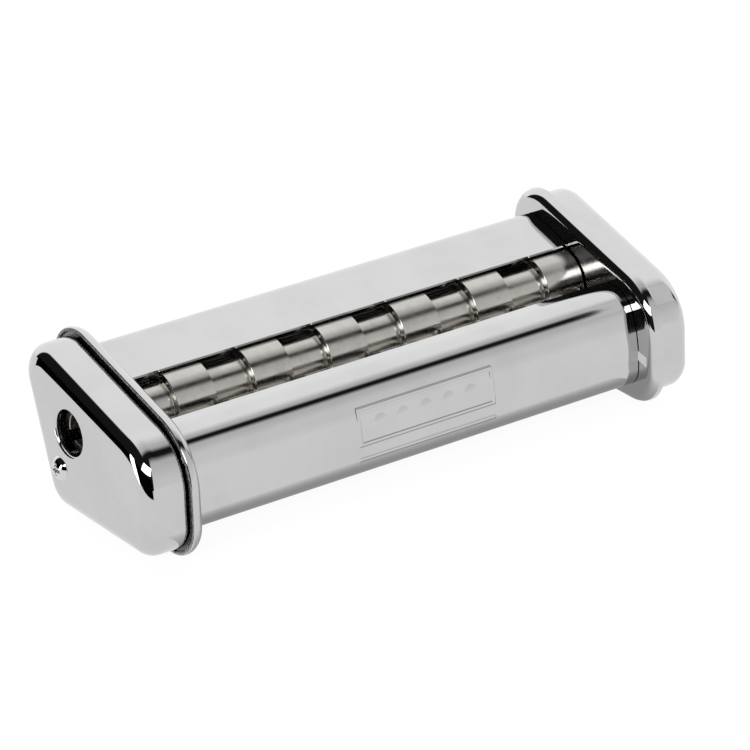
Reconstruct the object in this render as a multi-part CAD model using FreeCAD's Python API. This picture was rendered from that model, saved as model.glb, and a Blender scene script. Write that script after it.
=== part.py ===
import FreeCAD, Part
import math
import os

# Wide-ribbon cutting attachment of a hand-cranked pasta machine, in millimetres.
# Two interleaved cutting rollers turn between two pressed cheeks, under two bent sheet covers.
# The driving roller's crank socket opens at the left end and the gears sit at the right end.
# X runs along the rollers, left to right; Y runs from the front cover to the rear cover; Z is up.
# The origin is on the table, below the middle of the whole attachment.

# ---- driving dimensions -------------------------------------------------------------------
BAND = 12.0                     # width of one ribbon, and so of one cutting disc
BANDS = 12                      # ribbons across the rollers
ROLLER_HALF = BAND * BANDS / 2  # the rollers' working length, each side of the middle
DISC_R = 9.6
RECESS_R = 7.6
DRIVING_AXIS = (7.8, 25.5)      # y, z of the rear roller, which the crank turns
DRIVEN_AXIS = (-9.4, 20.2)      # y, z of the front roller
DISC_CLEARANCE = 0.05           # each side of a disc, where two discs shear past each other
RUNNING_CLEARANCE = 0.05        # radial, journal in bush
END_PLAY = 0.1                  # along X, between a bush and the washer that turns against it
EASY_FIT = 0.02                 # radial, between pieces that are pushed together
SIDE_GAP = 0.4                  # between a roller's end and the cheek

RIM_OUTLINE = [(38.37, 52.07), (-29.97, 32.84), (-31.93, 0.0), (18.47, 0.0)]
RIM_RADII = [10.9, 18.9, 10.3, 10.2]
CHEEK_SHEET = 1.0
CHEEK_INNER_X = ROLLER_HALF + SIDE_GAP
CHEEK_OUTER_X = CHEEK_INNER_X + CHEEK_SHEET
CHEEK_RIM_X = 76.25
CHEEK_BEND_R = 3.2
CAP_SHEET = 0.9
CAP_INSET = 2.15                # from the rim's outline to the cap's
CAP_X0 = CHEEK_OUTER_X + 0.35   # just clear of the bend inside the cheek's rim
CAP_X1 = 87.6
CAP_EDGE_R = 5.0

COVER_SHEET = 0.7
FRONT_COVER = [(-10.2, 31.15), (-19.4, 31.7), (-24.3, 20.1), (-25.1, 4.45), (-7.5, 4.45)]
FRONT_COVER_RADII = [0, 9.0, 35.0, 6.5, 0]
REAR_COVER = [(8.4, 3.8), (13.0, 3.8), (27.9, 42.4), (6.4, 36.3)]
REAR_COVER_RADII = [0, 6.0, 4.2, 0]
TAB_LENGTH = 2.0                # a cover's tab, through the cheek and past it
TAB_GAP = 0.1

EMBLEM_CENTRE = (2.0, 19.6)     # x, z of a plain framed row of studs on the front cover
EMBLEM_SIZE = (44.0, 10.0)
EMBLEM_LINE = 0.9
EMBLEM_RAISED = 0.3
EMBLEM_STUDS = 5
EMBLEM_STUD_R = 2.2
RULE_Z = 11.0                   # a plain raised line below the panel

BUSH_FLANGE = 1.6
BUSH_END_X = 77.0
JOURNAL_R = 4.0
JOURNAL_BUSH_R = 6.0
JOURNAL_FLANGE_R = 7.5
SOCKET_R = 6.0                  # the crank socket's sleeve
SOCKET_BORE_R = 4.3
SOCKET_STUB_R = 3.5
SOCKET_X = 84.3
SOCKET_FLOOR_X = 76.5
SOCKET_NOTCH = (3.0, 3.0)       # width and depth of the cross notch for the crank's pin
SOCKET_NOTCH_ANGLE = -39.0      # of the notch about the roller's axis, from +Y towards +Z
SOCKET_BUSH_R = 7.5
SOCKET_FLANGE_R = 9.0
SOCKET_PIN_R = 1.0
CRANK_HOLE_R = 6.1
COLLAR_DEPTH = 1.5
COLLAR_EDGE_R = 0.63

GEAR_TEETH = 12
GEAR_MODULE = 1.5
GEAR_PRESSURE = math.radians(25.0)
GEAR_ADDENDUM = 1.2
GEAR_ROOT_R = 7.2
GEAR_BACKLASH = 0.16
GEAR_X1 = 83.6
GEAR_SEAT_R = 3.5
GEAR_FLAT = 2.8                 # from the axis to the flat on the gear's seat
WASHER_SHEET = 0.6
GEAR_X0 = BUSH_END_X + END_PLAY + WASHER_SHEET
CLIP_SHEET = 0.8
CLIP_GROOVE_R = 2.9
CLIP_R = 5.2
CLIP_MOUTH = 60.0               # degrees left open in a retaining ring
SHAFT_END_X = 85.2

ROD_R = 1.75
FRONT_COMB_ROD = (-6.0, 7.6)
REAR_COMB_ROD = (9.6, 7.6)
UPPER_ROD = (19.5, 33.0)
NUT_ACROSS = 6.0
NUT_HEIGHT = 2.4
ROD_WASHER_R = 3.6
ROD_WASHER_SHEET = 0.8
ROD_END_X = 77.2

COMB_SHEET = 0.6
COMB_CURL_R = ROD_R + EASY_FIT
FINGER_GAP = 0.5                # each side of a finger, inside its roller's recess
FRONT_COMB = [(-2.2, 15.6), (-3.63, 11.6), (-3.63, 7.6)]
FRONT_COMB_BASE_Z = 11.6        # the comb is whole below this height and fingers above it
REAR_COMB = [(3.2, 18.25), (6.9, 16.05), (7.23, 7.6)]
REAR_COMB_BASE_Z = 15.0
COMB_BEND_R = 3.0
COMB_REACH = 10.0               # more than a comb spans in Y or above its base in Z

SCREW_AT = (12.2, 13.9)         # y, z of the cap's screw
SCREW_R = 1.75
SCREW_HEAD_R = 3.35
SCREW_HEAD_RISE = 1.6
SCREW_RECESS = (1.7, 0.35)      # half the length and half the width of each arm of the cross
SCREW_RECESS_FLOOR = 0.3        # above the head's underside
SCREW_TIP_X = 72.8
CLINCH_R = 2.8
CLINCH_X = 76.4
CLINCH_SHANK_R = 2.3

# ---- geometry helpers -----------------------------------------------------------------------
V = FreeCAD.Vector
X_AXIS = V(1, 0, 0)


def at(point, x=0.0):
    """A (y, z) pair as a vector at the given x."""
    return V(x, point[0], point[1])


def direction(start, end):
    length = math.hypot(end[0] - start[0], end[1] - start[1])
    return ((end[0] - start[0]) / length, (end[1] - start[1]) / length)


def corner_directions(points, closed):
    """For each point, the directions of the sides that arrive at it and leave it, or None."""
    last = len(points) - 1
    pairs = []
    for i, point in enumerate(points):
        arriving = direction(points[i - 1], point) if closed or i > 0 else None
        leaving = direction(point, points[(i + 1) % (last + 1)]) if closed or i < last else None
        pairs.append((arriving or leaving, leaving or arriving))
    return pairs


def offset(points, radii, distance, closed=True):
    """The outline moved by distance to the left of its travel, with mitred, concentric corners."""
    moved_points, moved_radii = [], []
    for point, radius, (a, b) in zip(points, radii, corner_directions(points, closed)):
        turn = a[0] * b[1] - a[1] * b[0]
        scale = distance / (1 + a[0] * b[0] + a[1] * b[1])
        moved_points.append((point[0] - (a[1] + b[1]) * scale, point[1] + (a[0] + b[0]) * scale))
        moved_radii.append(radius - math.copysign(distance, turn * distance) if radius else 0)
    return moved_points, moved_radii


def rounded(points, radii, closed=True):
    """The edges of an outline whose corners are arcs of the given radii."""
    ends = []
    for point, radius, (a, b) in zip(points, radii, corner_directions(points, closed)):
        if not radius:
            ends.append((at(point), None, at(point)))
            continue
        half_turn = math.acos(max(-1.0, min(1.0, a[0] * b[0] + a[1] * b[1]))) / 2
        reach = radius * math.tan(half_turn)
        entry = at(point) - at(a) * reach
        leave = at(point) + at(b) * reach
        inward = (at(b) - at(a)).normalize()
        middle = at(point) + inward * (radius / math.cos(half_turn) - radius)
        ends.append((entry, middle, leave))
    edges = []
    for i, (entry, middle, leave) in enumerate(ends):
        if middle is not None:
            edges.append(Part.Arc(entry, middle, leave).toShape())
        if closed or i < len(ends) - 1:
            edges.append(Part.LineSegment(leave, ends[(i + 1) % len(ends)][0]).toShape())
    return edges


def prism(points, radii, x0, x1):
    """A closed outline with rounded corners, carried from x0 to x1."""
    face = Part.Face(Part.Wire(rounded(points, radii)))
    face.translate(V(x0, 0, 0))
    return face.extrude(V(x1 - x0, 0, 0))


def bent_sheet(points, radii, thickness, x0, x1):
    """A sheet whose one surface follows an open path; its thickness is to the left of the path."""
    other_points, other_radii = offset(points, radii, thickness, closed=False)
    edges = rounded(points, radii, closed=False) + rounded(other_points, other_radii, closed=False)
    for near, far in ((points[0], other_points[0]), (points[-1], other_points[-1])):
        edges.append(Part.LineSegment(at(near), at(far)).toShape())
    face = Part.Face(Part.Wire(Part.__sortEdges__(edges)))
    face.translate(V(x0, 0, 0))
    return face.extrude(V(x1 - x0, 0, 0))


def rod(axis, radius, x0, x1):
    """A cylinder along X."""
    return Part.makeCylinder(radius, abs(x1 - x0), at(axis, min(x0, x1)), X_AXIS)


def tube(axis, outer, inner, x0, x1):
    return rod(axis, outer, x0, x1).cut(rod(axis, inner, x0, x1))


def block(x, y, z):
    """A box from three (low, high) pairs."""
    return Part.makeBox(x[1] - x[0], y[1] - y[0], z[1] - z[0], V(x[0], y[0], z[0]))


def hexagon(axis, across, x0, x1):
    corner = across / math.sqrt(3)
    angles = [math.radians(60 * i) for i in range(6)]
    points = [(axis[0] + corner * math.cos(t), axis[1] + corner * math.sin(t)) for t in angles]
    return prism(points, [0] * 6, x0, x1)


def rounded_end(solid, x, radius):
    """The solid with the edges of its flat face at x rounded."""
    edges = [e for e in solid.Edges if all(abs(v.X - x) < 1e-6 for v in e.Vertexes)]
    return solid.makeFillet(radius, edges)


def mirrored(shape):
    return shape.mirror(V(0, 0, 0), X_AXIS)


def save(node, *solids):
    shape = solids[0] if len(solids) == 1 else Part.makeCompound(list(solids))
    shape.exportStep("parts/%s.step" % node)


# ---- cutting rollers, gears and what holds them on ------------------------------------------
def cutting_body(axis, first_disc):
    """A recess-sized core with a disc on every second band, the first on band first_disc."""
    body = rod(axis, RECESS_R, -ROLLER_HALF, ROLLER_HALF)
    for band in range(first_disc, BANDS, 2):
        start = -ROLLER_HALF + band * BAND
        body = body.fuse(rod(axis, DISC_R, start + DISC_CLEARANCE, start + BAND - DISC_CLEARANCE))
    return body


def gear_seat(axis):
    """The right end of a roller: journal, flatted gear seat and the retaining ring's groove."""
    seat = rod(axis, GEAR_SEAT_R, BUSH_END_X, SHAFT_END_X)
    flat = block((BUSH_END_X, SHAFT_END_X),
                 (axis[0] - GEAR_SEAT_R, axis[0] + GEAR_SEAT_R),
                 (axis[1] + GEAR_FLAT, axis[1] + GEAR_SEAT_R))
    groove = tube(axis, GEAR_SEAT_R + 1, CLIP_GROOVE_R, GEAR_X1, GEAR_X1 + CLIP_SHEET)
    journal = rod(axis, JOURNAL_R, ROLLER_HALF, BUSH_END_X)
    return journal.fuse(seat.cut(flat).cut(groove))


def retaining_ring(axis, x0):
    """A C-shaped spring ring, open downwards."""
    half = math.radians(CLIP_MOUTH / 2)
    far = 2 * CLIP_R
    mouth = prism([axis, (axis[0] - far * math.sin(half), axis[1] - far * math.cos(half)),
                   (axis[0] + far * math.sin(half), axis[1] - far * math.cos(half))],
                  [0] * 3, x0, x0 + CLIP_SHEET)
    return tube(axis, CLIP_R, CLIP_GROOVE_R + EASY_FIT, x0, x0 + CLIP_SHEET).cut(mouth)


def involute_gear(axis, x0, x1, start_angle):
    """A spur gear whose first tooth points at start_angle, with involute flanks."""
    pitch_r = GEAR_MODULE * GEAR_TEETH / 2
    base_r = pitch_r * math.cos(GEAR_PRESSURE)
    tip_r = pitch_r + GEAR_ADDENDUM

    def flank_angle(radius):
        """Half the tooth's angle at a radius, from the involute of the base circle."""
        pressure = math.acos(min(1.0, base_r / radius))
        swept = math.tan(GEAR_PRESSURE) - GEAR_PRESSURE - math.tan(pressure) + pressure
        return (math.pi / 2 - GEAR_BACKLASH / GEAR_MODULE) / GEAR_TEETH + swept

    def polar(radius, angle):
        return at((axis[0] + radius * math.cos(angle), axis[1] + radius * math.sin(angle)), x0)

    flank_radii = [base_r + (tip_r - base_r) * i / 4 for i in range(5)]
    pitch_angle = 2 * math.pi / GEAR_TEETH
    edges = []
    for tooth in range(GEAR_TEETH):
        middle = start_angle + tooth * pitch_angle
        root = flank_angle(base_r)
        rising = [polar(r, middle - flank_angle(r)) for r in flank_radii]
        falling = [polar(r, middle + flank_angle(r)) for r in reversed(flank_radii)]
        edges.append(Part.LineSegment(polar(GEAR_ROOT_R, middle - root), rising[0]).toShape())
        for flank in (rising, falling):
            curve = Part.BSplineCurve()
            curve.interpolate(flank)
            edges.append(curve.toShape())
        edges.append(Part.Arc(rising[-1], polar(tip_r, middle), falling[0]).toShape())
        edges.append(Part.LineSegment(falling[-1], polar(GEAR_ROOT_R, middle + root)).toShape())
        edges.append(Part.Arc(polar(GEAR_ROOT_R, middle + root), polar(GEAR_ROOT_R, middle + pitch_angle / 2),
                              polar(GEAR_ROOT_R, middle + pitch_angle - root)).toShape())
    blank = Part.Face(Part.Wire(Part.__sortEdges__(edges))).extrude(V(x1 - x0, 0, 0))
    seat_r = GEAR_SEAT_R + EASY_FIT
    bore = rod(axis, seat_r, x0, x1).cut(block((x0, x1), (axis[0] - seat_r, axis[0] + seat_r),
                                               (axis[1] + GEAR_FLAT + EASY_FIT, axis[1] + seat_r)))
    return blank.cut(bore)


def crank_socket():
    """A sleeve on the driving roller's left stub, bored and cross-notched for the crank."""
    sleeve = rod(DRIVING_AXIS, SOCKET_R, -SOCKET_X, -CHEEK_INNER_X)
    sleeve = sleeve.cut(rod(DRIVING_AXIS, SOCKET_BORE_R, -SOCKET_X, -SOCKET_FLOOR_X))
    sleeve = sleeve.cut(rod(DRIVING_AXIS, SOCKET_STUB_R + EASY_FIT, -SOCKET_FLOOR_X, -CHEEK_INNER_X))
    width, depth = SOCKET_NOTCH
    notch = block((-SOCKET_X, -SOCKET_X + depth),
                  (DRIVING_AXIS[0] - 2 * SOCKET_R, DRIVING_AXIS[0] + 2 * SOCKET_R),
                  (DRIVING_AXIS[1] - width / 2, DRIVING_AXIS[1] + width / 2))
    notch.rotate(at(DRIVING_AXIS), X_AXIS, SOCKET_NOTCH_ANGLE)
    return sleeve.cut(notch)


def cross_pin(radius, half_length):
    """A pin across the socket's sleeve and the stub inside it."""
    middle = -(SOCKET_FLOOR_X + CHEEK_INNER_X) / 2
    start = at((DRIVING_AXIS[0], DRIVING_AXIS[1] - half_length), middle)
    return Part.makeCylinder(radius, 2 * half_length, start, V(0, 0, 1))


pin_hole = cross_pin(SOCKET_PIN_R + EASY_FIT, SOCKET_R + 1)
stub = rod(DRIVING_AXIS, SOCKET_STUB_R, -SOCKET_FLOOR_X, -ROLLER_HALF)
driving_roller = cutting_body(DRIVING_AXIS, 1).fuse(gear_seat(DRIVING_AXIS)).fuse(stub).cut(pin_hole)

left_end_x = BUSH_END_X + END_PLAY + WASHER_SHEET
left_journal = rod(DRIVEN_AXIS, JOURNAL_R, -BUSH_END_X, -ROLLER_HALF)
left_tail = rod(DRIVEN_AXIS, GEAR_SEAT_R, -left_end_x - 2 * CLIP_SHEET, -BUSH_END_X)
left_groove = tube(DRIVEN_AXIS, GEAR_SEAT_R + 1, CLIP_GROOVE_R, -left_end_x - CLIP_SHEET, -left_end_x)
driven_roller = cutting_body(DRIVEN_AXIS, 0).fuse(gear_seat(DRIVEN_AXIS))
driven_roller = driven_roller.fuse(left_journal).fuse(left_tail).cut(left_groove)

# A tooth of the driving gear points at the driven gear's axis and meets a gap there.
mesh_angle = math.atan2(DRIVEN_AXIS[1] - DRIVING_AXIS[1], DRIVEN_AXIS[0] - DRIVING_AXIS[0])
half_pitch = math.pi / GEAR_TEETH
driving_gear = involute_gear(DRIVING_AXIS, GEAR_X0, GEAR_X1, mesh_angle)
driven_gear = involute_gear(DRIVEN_AXIS, GEAR_X0, GEAR_X1, mesh_angle + math.pi + half_pitch)

# ---- covers ---------------------------------------------------------------------------------
COVERS = {
    "front_cover": (FRONT_COVER, FRONT_COVER_RADII, [((-26, -20), (14, 20)), ((-18, -12), (2, 6))]),
    "rear_cover": (REAR_COVER, REAR_COVER_RADII, [((12, 18), (36, 44)), ((12, 26), (16, 23))]),
}


def cover(name):
    """A bent sheet between the cheeks, with tabs that pass through them."""
    points, radii, windows = COVERS[name]
    sheet = bent_sheet(points, radii, COVER_SHEET, -CHEEK_INNER_X, CHEEK_INNER_X)
    reach = CHEEK_INNER_X + TAB_LENGTH
    long_sheet = bent_sheet(points, radii, COVER_SHEET, -reach, reach)
    for y, z in windows:
        sheet = sheet.fuse(long_sheet.common(block((-reach, reach), y, z)))
    return sheet.removeSplitter()


def tab_slots():
    """Slots through the right cheek, a little larger than the covers' tabs."""
    slots = []
    x = (CHEEK_INNER_X - 1, CHEEK_OUTER_X + 1)
    for points, radii, windows in COVERS.values():
        larger_points, larger_radii = offset(points, radii, -TAB_GAP, closed=False)
        sheet = bent_sheet(larger_points, larger_radii, COVER_SHEET + 2 * TAB_GAP, *x)
        for y, z in windows:
            window = block(x, (y[0] - TAB_GAP, y[1] + TAB_GAP), (z[0] - TAB_GAP, z[1] + TAB_GAP))
            slots.append(sheet.common(window))
    return slots


def emblem():
    """A plain raised panel on the front cover: a frame, a row of round studs and a line below."""
    raised_points, raised_radii = offset(FRONT_COVER, FRONT_COVER_RADII, -EMBLEM_RAISED, closed=False)
    width, height = EMBLEM_SIZE
    skin = bent_sheet(raised_points, raised_radii, EMBLEM_RAISED + COVER_SHEET / 2, -width, width)
    x_mid, z_mid = EMBLEM_CENTRE
    left, right = x_mid - width / 2, x_mid + width / 2
    low, high = z_mid - height / 2, z_mid + height / 2
    line = EMBLEM_LINE
    strips = [((left, right), (low, low + line)), ((left, right), (high - line, high)),
              ((left, left + line), (low, high)), ((right - line, right), (low, high)),
              ((left, right), (RULE_Z - line / 2, RULE_Z + line / 2))]
    front_half = (RIM_OUTLINE[2][0], DRIVEN_AXIS[0])
    raised = [skin.common(block(x, front_half, z)) for x, z in strips]
    pitch = width / (EMBLEM_STUDS + 1)
    for stud in range(1, EMBLEM_STUDS + 1):
        start = FreeCAD.Vector(left + stud * pitch, front_half[0], z_mid)
        raised.append(skin.common(Part.makeCylinder(EMBLEM_STUD_R, front_half[1] - front_half[0], start,
                                                    FreeCAD.Vector(0, 1, 0))))
    return raised


front_cover = cover("front_cover")
for strip in emblem():
    front_cover = front_cover.fuse(strip)
front_cover = front_cover.removeSplitter()
rear_cover = cover("rear_cover")

# ---- cheeks and caps ------------------------------------------------------------------------
RODS = (FRONT_COMB_ROD, REAR_COMB_ROD, UPPER_ROD)


def cheek(driving_hole_r):
    """The right cheek: a shallow pressed tray with its rim turned away from the rollers."""
    inner_points, inner_radii = offset(RIM_OUTLINE, RIM_RADII, CHEEK_SHEET)
    blank = prism(RIM_OUTLINE, RIM_RADII, CHEEK_INNER_X, CHEEK_RIM_X)
    hollow = prism(inner_points, inner_radii, CHEEK_OUTER_X, CHEEK_RIM_X + 1)
    tray = rounded_end(blank, CHEEK_INNER_X, CHEEK_BEND_R)
    tray = tray.cut(rounded_end(hollow, CHEEK_OUTER_X, CHEEK_BEND_R - CHEEK_SHEET))
    holes = [(DRIVING_AXIS, driving_hole_r), (DRIVEN_AXIS, JOURNAL_BUSH_R), (SCREW_AT, CLINCH_SHANK_R)]
    holes += [(axis, ROD_R) for axis in RODS]
    for axis, radius in holes:
        tray = tray.cut(rod(axis, radius + EASY_FIT, CHEEK_INNER_X - 1, CHEEK_OUTER_X + 1))
    for slot in tab_slots():
        tray = tray.cut(slot)
    return tray


def cap():
    """The right cap: a deep-drawn shell that nests inside the cheek's rim, with a screw hole."""
    outer_points, outer_radii = offset(RIM_OUTLINE, RIM_RADII, CAP_INSET)
    inner_points, inner_radii = offset(RIM_OUTLINE, RIM_RADII, CAP_INSET + CAP_SHEET)
    floor_x = CAP_X1 - CAP_SHEET
    blank = prism(outer_points, outer_radii, CAP_X0, CAP_X1)
    hollow = prism(inner_points, inner_radii, CAP_X0 - 1, floor_x)
    shell = rounded_end(blank, CAP_X1, CAP_EDGE_R)
    shell = shell.cut(rounded_end(hollow, floor_x, CAP_EDGE_R - CAP_SHEET))
    return shell.cut(rod(SCREW_AT, SCREW_R + TAB_GAP, floor_x - 1, CAP_X1 + 1))


def left_cap():
    """The left cap has the crank's hole as well, with its edge turned inwards to a short collar."""
    shell = mirrored(cap())
    collar_r = CRANK_HOLE_R + CAP_SHEET
    shell = shell.cut(rod(DRIVING_AXIS, collar_r, -CAP_X1 - 1, -CAP_X1 + COLLAR_DEPTH))
    ring = tube(DRIVING_AXIS, collar_r, CRANK_HOLE_R, -CAP_X1, -CAP_X1 + COLLAR_DEPTH)
    mouth = [e for e in ring.Edges if abs(e.BoundBox.XMax + CAP_X1) < 1e-6
             and abs(e.BoundBox.YLength / 2 - CRANK_HOLE_R) < 1e-3]
    return shell.fuse(ring.makeFillet(COLLAR_EDGE_R, mouth)).removeSplitter()


def cap_screw():
    """The right cap's screw: domed head with a cross recess, and a shank to the clinch nut."""
    dome_r = (SCREW_HEAD_R ** 2 + SCREW_HEAD_RISE ** 2) / (2 * SCREW_HEAD_RISE)
    dome = Part.makeSphere(dome_r, at(SCREW_AT, CAP_X1 + SCREW_HEAD_RISE - dome_r))
    head = dome.common(rod(SCREW_AT, SCREW_HEAD_R, CAP_X1, CAP_X1 + SCREW_HEAD_RISE))
    screw = head.fuse(rod(SCREW_AT, SCREW_R, SCREW_TIP_X, CAP_X1))
    recess_x = (CAP_X1 + SCREW_RECESS_FLOOR, CAP_X1 + SCREW_HEAD_RISE + 1)
    for half_y, half_z in (SCREW_RECESS, reversed(SCREW_RECESS)):
        screw = screw.cut(block(recess_x, (SCREW_AT[0] - half_y, SCREW_AT[0] + half_y),
                                (SCREW_AT[1] - half_z, SCREW_AT[1] + half_z)))
    return screw


def clinch_nut():
    """A threaded insert pressed into the right cheek, which takes the cap's screw."""
    body = rod(SCREW_AT, CLINCH_R, CHEEK_OUTER_X, CLINCH_X)
    body = body.fuse(rod(SCREW_AT, CLINCH_SHANK_R, CHEEK_INNER_X + 0.1, CHEEK_OUTER_X))
    return body.cut(rod(SCREW_AT, SCREW_R + EASY_FIT, CHEEK_INNER_X, CLINCH_X))


def bush(axis, bore_r, barrel_r, flange_r):
    """The right bush: a plain bearing through the cheek, with its flange against the outer face."""
    solid = rod(axis, barrel_r, CHEEK_INNER_X + 0.1, BUSH_END_X)
    solid = solid.fuse(rod(axis, flange_r, CHEEK_OUTER_X, CHEEK_OUTER_X + BUSH_FLANGE))
    return solid.cut(rod(axis, bore_r + RUNNING_CLEARANCE, CHEEK_INNER_X, BUSH_END_X))


# ---- combs and tie rods ---------------------------------------------------------------------
def comb(outlet_side, rod_axis, base_z, first_finger, rod_side):
    """A sheet comb curled round its rod, with one finger in every second band of its roller.

    outlet_side is the path, from a finger's tip down, of the surface that the ribbons slide on;
    the rod is on the other surface's side, towards rod_side in Y.
    """
    sheet = bent_sheet(outlet_side, [0, COMB_BEND_R, 0], COMB_SHEET * rod_side, -ROLLER_HALF, ROLLER_HALF)
    depth = (rod_axis[0] - COMB_REACH, rod_axis[0] + COMB_REACH)
    solid = sheet.common(block((-ROLLER_HALF, ROLLER_HALF), depth, (rod_axis[1], base_z)))
    for band in range(first_finger, BANDS, 2):
        start = -ROLLER_HALF + band * BAND
        width = (start + FINGER_GAP, start + BAND - FINGER_GAP)
        height = (base_z - COMB_SHEET, base_z + COMB_REACH)
        solid = solid.fuse(sheet.common(block(width, depth, height)))
    curl = tube(rod_axis, COMB_CURL_R + COMB_SHEET, COMB_CURL_R, -ROLLER_HALF, ROLLER_HALF)
    open_y = sorted((rod_axis[0], rod_axis[0] + COMB_REACH * rod_side))
    open_z = (rod_axis[1], rod_axis[1] + COMB_REACH)
    curl = curl.cut(block((-ROLLER_HALF, ROLLER_HALF), open_y, open_z))
    return solid.fuse(curl).removeSplitter()


front_comb = comb(FRONT_COMB, FRONT_COMB_ROD, FRONT_COMB_BASE_Z, 1, -1)
rear_comb = comb(REAR_COMB, REAR_COMB_ROD, REAR_COMB_BASE_Z, 0, 1)

rod_washers, rod_nuts = [], []
washer_x = CHEEK_OUTER_X + ROD_WASHER_SHEET
for axis in RODS:
    washer = tube(axis, ROD_WASHER_R, ROD_R + EASY_FIT, CHEEK_OUTER_X, washer_x)
    nut = hexagon(axis, NUT_ACROSS, washer_x, washer_x + NUT_HEIGHT)
    nut = nut.cut(rod(axis, ROD_R + EASY_FIT, washer_x, washer_x + NUT_HEIGHT))
    rod_washers += [washer, mirrored(washer)]
    rod_nuts += [nut, mirrored(nut)]

# ---- files ----------------------------------------------------------------------------------
os.makedirs("parts", exist_ok=True)
save("driving_roller", driving_roller)
save("driven_roller", driven_roller)
save("crank_socket", crank_socket().cut(pin_hole))
save("socket_pin", cross_pin(SOCKET_PIN_R, SOCKET_R - 0.2))
save("driving_gear", driving_gear)
save("driven_gear", driven_gear)
for name, axis in (("driving", DRIVING_AXIS), ("driven", DRIVEN_AXIS)):
    save(name + "_gear_washer", tube(axis, CLIP_R, GEAR_SEAT_R + EASY_FIT, GEAR_X0 - WASHER_SHEET, GEAR_X0))
    save(name + "_gear_ring", retaining_ring(axis, GEAR_X1))
left_washer_x = (-left_end_x, WASHER_SHEET - left_end_x)
save("left_end_washer", tube(DRIVEN_AXIS, CLIP_R, GEAR_SEAT_R + EASY_FIT, *left_washer_x))
save("left_end_ring", retaining_ring(DRIVEN_AXIS, -left_end_x - CLIP_SHEET))
save("front_cover", front_cover)
save("rear_cover", rear_cover)
save("right_cheek", cheek(JOURNAL_BUSH_R))
save("left_cheek", mirrored(cheek(SOCKET_BUSH_R)))
save("right_cap", cap())
save("left_cap", left_cap())
save("right_cap_screw", cap_screw())
save("left_cap_screw", mirrored(cap_screw()))
save("right_clinch_nut", clinch_nut())
save("left_clinch_nut", mirrored(clinch_nut()))
save("right_driving_bush", bush(DRIVING_AXIS, JOURNAL_R, JOURNAL_BUSH_R, JOURNAL_FLANGE_R))
save("right_driven_bush", bush(DRIVEN_AXIS, JOURNAL_R, JOURNAL_BUSH_R, JOURNAL_FLANGE_R))
save("left_driving_bush", mirrored(bush(DRIVING_AXIS, SOCKET_R, SOCKET_BUSH_R, SOCKET_FLANGE_R)))
save("left_driven_bush", mirrored(bush(DRIVEN_AXIS, JOURNAL_R, JOURNAL_BUSH_R, JOURNAL_FLANGE_R)))
save("front_comb", front_comb)
save("rear_comb", rear_comb)
save("front_comb_rod", rod(FRONT_COMB_ROD, ROD_R, -ROD_END_X, ROD_END_X))
save("rear_comb_rod", rod(REAR_COMB_ROD, ROD_R, -ROD_END_X, ROD_END_X))
save("upper_tie_rod", rod(UPPER_ROD, ROD_R, -ROD_END_X, ROD_END_X))
save("tie_rod_washers", *rod_washers)
save("tie_rod_nuts", *rod_nuts)
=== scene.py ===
import math

import bmesh
import bpy
import numpy as np
from mathutils import Matrix, Vector
from mathutils.geometry import delaunay_2d_cdt


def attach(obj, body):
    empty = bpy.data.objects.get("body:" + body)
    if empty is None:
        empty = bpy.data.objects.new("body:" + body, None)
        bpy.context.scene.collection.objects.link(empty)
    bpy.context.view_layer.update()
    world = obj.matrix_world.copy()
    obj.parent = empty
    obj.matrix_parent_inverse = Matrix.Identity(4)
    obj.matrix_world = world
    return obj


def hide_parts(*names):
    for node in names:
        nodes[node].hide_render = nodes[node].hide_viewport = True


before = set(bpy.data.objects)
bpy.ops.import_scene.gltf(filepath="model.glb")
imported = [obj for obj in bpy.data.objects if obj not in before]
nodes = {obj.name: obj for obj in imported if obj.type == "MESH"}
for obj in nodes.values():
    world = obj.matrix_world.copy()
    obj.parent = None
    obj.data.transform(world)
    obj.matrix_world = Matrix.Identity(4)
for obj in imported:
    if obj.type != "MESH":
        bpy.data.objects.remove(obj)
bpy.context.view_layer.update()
MM = 0.001

# ---- camera ---------------------------------------------------------------------------------
# A long lens looks down on the attachment from its crank end and front, far enough away that
# the two cheeks stay nearly parallel.
CAMERA_PLACE = Vector((-688.1, -926.4, 566.4)) * MM
CAMERA_AZIMUTH = math.radians(-36.73)
CAMERA_ELEVATION = math.radians(25.33)
CAMERA_ROLL = math.radians(0.08)
CAMERA_LENS = 234.4
CAMERA_SENSOR = 36.0

camera = bpy.data.objects.new("camera", bpy.data.cameras.new("camera"))
bpy.context.scene.collection.objects.link(camera)
camera.data.lens = CAMERA_LENS
camera.data.sensor_width = CAMERA_SENSOR
camera.data.clip_start = 0.05
camera.data.clip_end = 20
lean = Matrix.Rotation(math.pi / 2 - CAMERA_ELEVATION, 4, "X")
turn = Matrix.Rotation(CAMERA_AZIMUTH, 4, "Z") @ lean
camera.matrix_world = Matrix.Translation(CAMERA_PLACE) @ turn @ Matrix.Rotation(CAMERA_ROLL, 4, "Z")
bpy.context.scene.camera = camera

# ---- shader wiring and the studio -----------------------------------------------------------
# A white table under a soft box, with a pale wall in front and one bright window on the left,
# all the world's own light. Four sheets that only reflections meet finish the look of the
# chrome: a black flag and a white card on the left, a fill on the right, and a painted
# shadow on the table, dimmer towards the body.


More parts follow.
